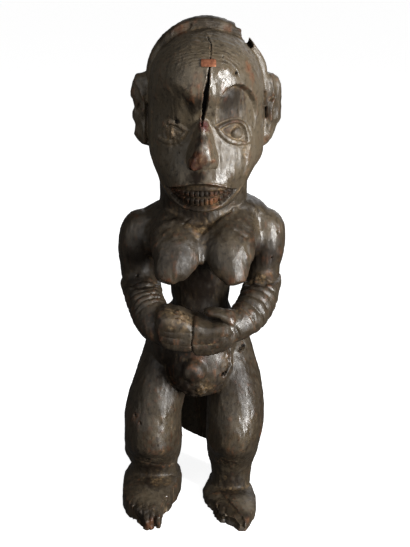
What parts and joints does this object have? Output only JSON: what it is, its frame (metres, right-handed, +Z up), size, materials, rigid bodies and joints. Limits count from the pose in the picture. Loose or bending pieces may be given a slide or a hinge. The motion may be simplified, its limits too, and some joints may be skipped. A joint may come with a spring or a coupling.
{
  "type": "fang reliquary figure",
  "caption": "Carved dark wood guardian figure, standing, hands joined over the belly, with a crest over a bulging forehead and a copper strip across its crack.",
  "frame": {"origin": "on the ground, under the middle of the figure's bounding box", "axes": "+Z up, the figure faces -Y, +X to the right of a viewer who faces it"},
  "size_m": [0.1778, 0.161, 0.521],
  "materials": {
    "dark_wood": "old hand-carved hardwood, near black with a brown sheen, glossy where it was handled, dusty in the cuts",
    "copper": "dull beaten copper with brown tarnish"
  },
  "bodies": {
    "root": {"figure": "dark_wood", "forehead_clip": "copper"}
  },
  "joints": []
}
